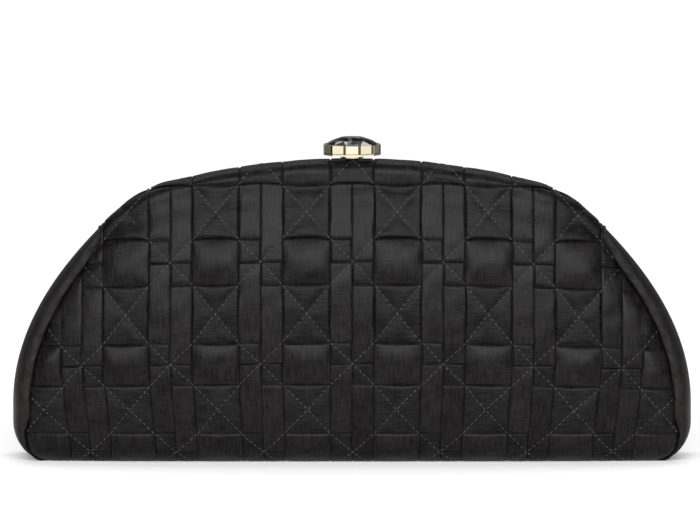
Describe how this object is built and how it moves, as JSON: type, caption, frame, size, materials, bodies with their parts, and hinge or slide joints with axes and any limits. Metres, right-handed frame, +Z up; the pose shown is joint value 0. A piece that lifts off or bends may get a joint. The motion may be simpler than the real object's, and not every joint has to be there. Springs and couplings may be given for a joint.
{
  "type": "clutch purse",
  "caption": "Half-moon evening clutch of woven black satin with smooth side gussets, a covered hinged frame and a faceted jewel push-button clasp.",
  "frame": {"origin": "middle of the flat base, at the height of the surface it stands on", "axes": "+X along the bag's width to the right of a viewer facing its front, +Y from the front to the rear, +Z up through the crown"},
  "size_m": [0.3, 0.054, 0.142],
  "materials": {
    "woven_satin": "black satin ribbon, woven and padded",
    "side_satin": "plain black satin",
    "lining_cloth": "thin matt lining cloth",
    "stiffener_board": "pressed stiffening board",
    "gold_metal": "pale gold plating, polished",
    "spring_steel": "spring steel",
    "leather_washer": "thin dark washer",
    "dark_glass": "faceted, polished, nearly opaque"
  },
  "bodies": {
    "bag": {"base_panel": "side_satin", "base_board": "stiffener_board", "front_panel": "woven_satin", "rear_panel": "woven_satin", "front_yoke": "woven_satin", "rear_yoke": "woven_satin", "front_board": "stiffener_board", "rear_board": "stiffener_board", "gusset_left": "side_satin", "gusset_right": "side_satin", "lining_front": "lining_cloth", "lining_rear": "lining_cloth", "lining_base": "lining_cloth", "lining_gusset_left": "lining_cloth", "lining_gusset_right": "lining_cloth", "lining_yoke_front": "lining_cloth", "lining_yoke_rear": "lining_cloth", "slip_pocket": "lining_cloth", "hinge_pin_left": "gold_metal", "hinge_pin_right": "gold_metal"},
    "front_half": {"front_frame": "gold_metal", "front_sleeve": "woven_satin", "keeper": "spring_steel", "keeper_rivets": "gold_metal"},
    "rear_half": {"rear_frame": "gold_metal", "rear_sleeve": "woven_satin", "clasp_washer": "leather_washer", "clasp_bush": "gold_metal", "clasp_lock_ring": "spring_steel", "clasp_spring": "spring_steel"},
    "button": {"bezel": "gold_metal", "jewel": "dark_glass", "button_stem": "gold_metal", "latch_hook": "spring_steel", "latch_clip": "spring_steel"}
  },
  "joints": [
    {"name": "front_frame_open", "type": "hinge", "parent": "bag", "child": "front_half", "pos_m": [0, 0, 0.098], "axis": [1, 0, 0], "range_deg": [0, 40], "deforming": ["keeper", "front_yoke", "lining_yoke_front"]},
    {"name": "rear_frame_open", "type": "hinge", "parent": "bag", "child": "rear_half", "pos_m": [0, 0, 0.098], "axis": [-1, 0, 0], "range_deg": [0, 40], "deforming": ["rear_yoke", "lining_yoke_rear"]},
    {"name": "clasp_press", "type": "slide", "parent": "rear_half", "child": "button", "axis": [0, 0, -1], "range_m": [0, 0.0014], "stiffness_N_per_m": 1500, "springref_m": -0.0015, "deforming": ["clasp_spring"]}
  ]
}
